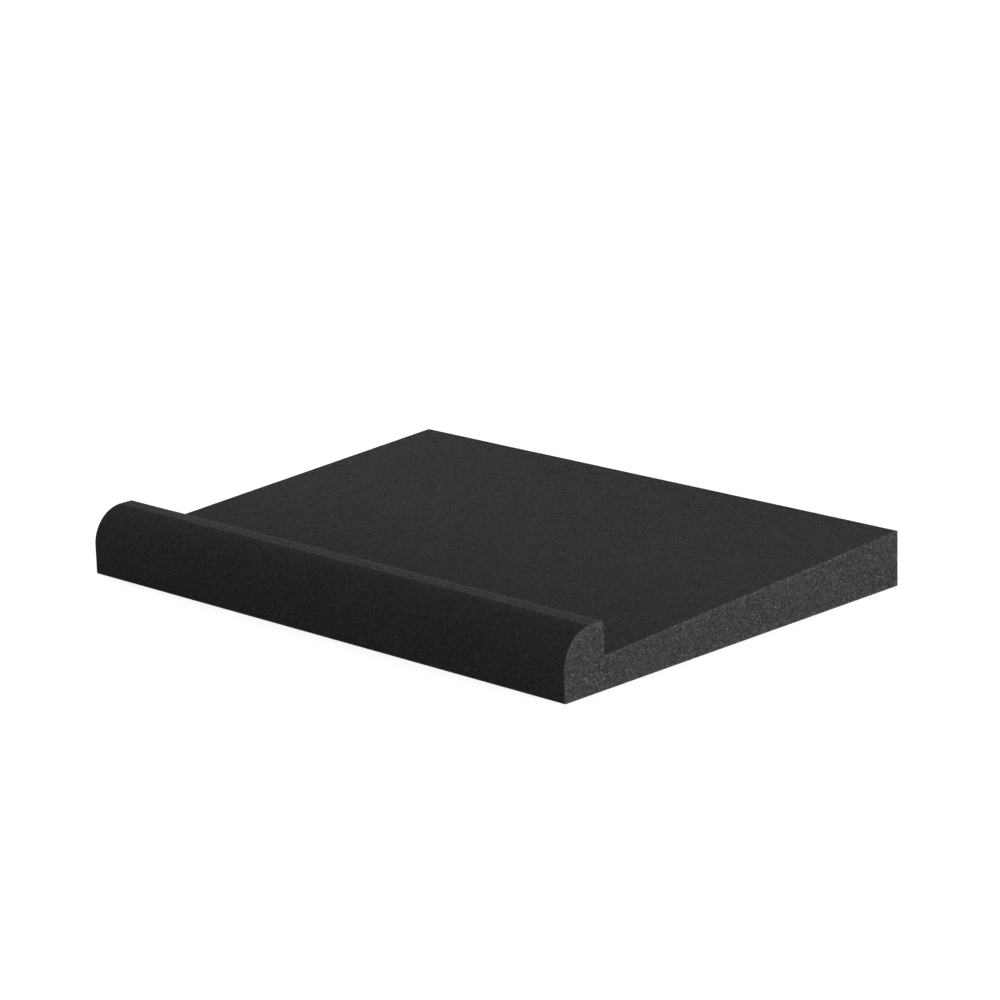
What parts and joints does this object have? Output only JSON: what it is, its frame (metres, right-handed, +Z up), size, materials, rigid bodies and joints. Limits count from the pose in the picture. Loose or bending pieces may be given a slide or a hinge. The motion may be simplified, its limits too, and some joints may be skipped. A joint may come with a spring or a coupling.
{
  "type": "speaker isolation pad",
  "caption": "Wedge-shaped foam pad with a rounded upright lip along its front edge, for a loudspeaker to stand on so that less vibration reaches the desk.",
  "frame": {"origin": "middle of the underside, under the centre of the pad's width and depth", "axes": "+X across the front to the right, +Y from the lip to the rear, +Z up"},
  "size_m": [0.33, 0.24, 0.0335],
  "materials": {
    "foam": "matte"
  },
  "bodies": {
    "root": {"foam_pad": "foam"}
  },
  "joints": []
}
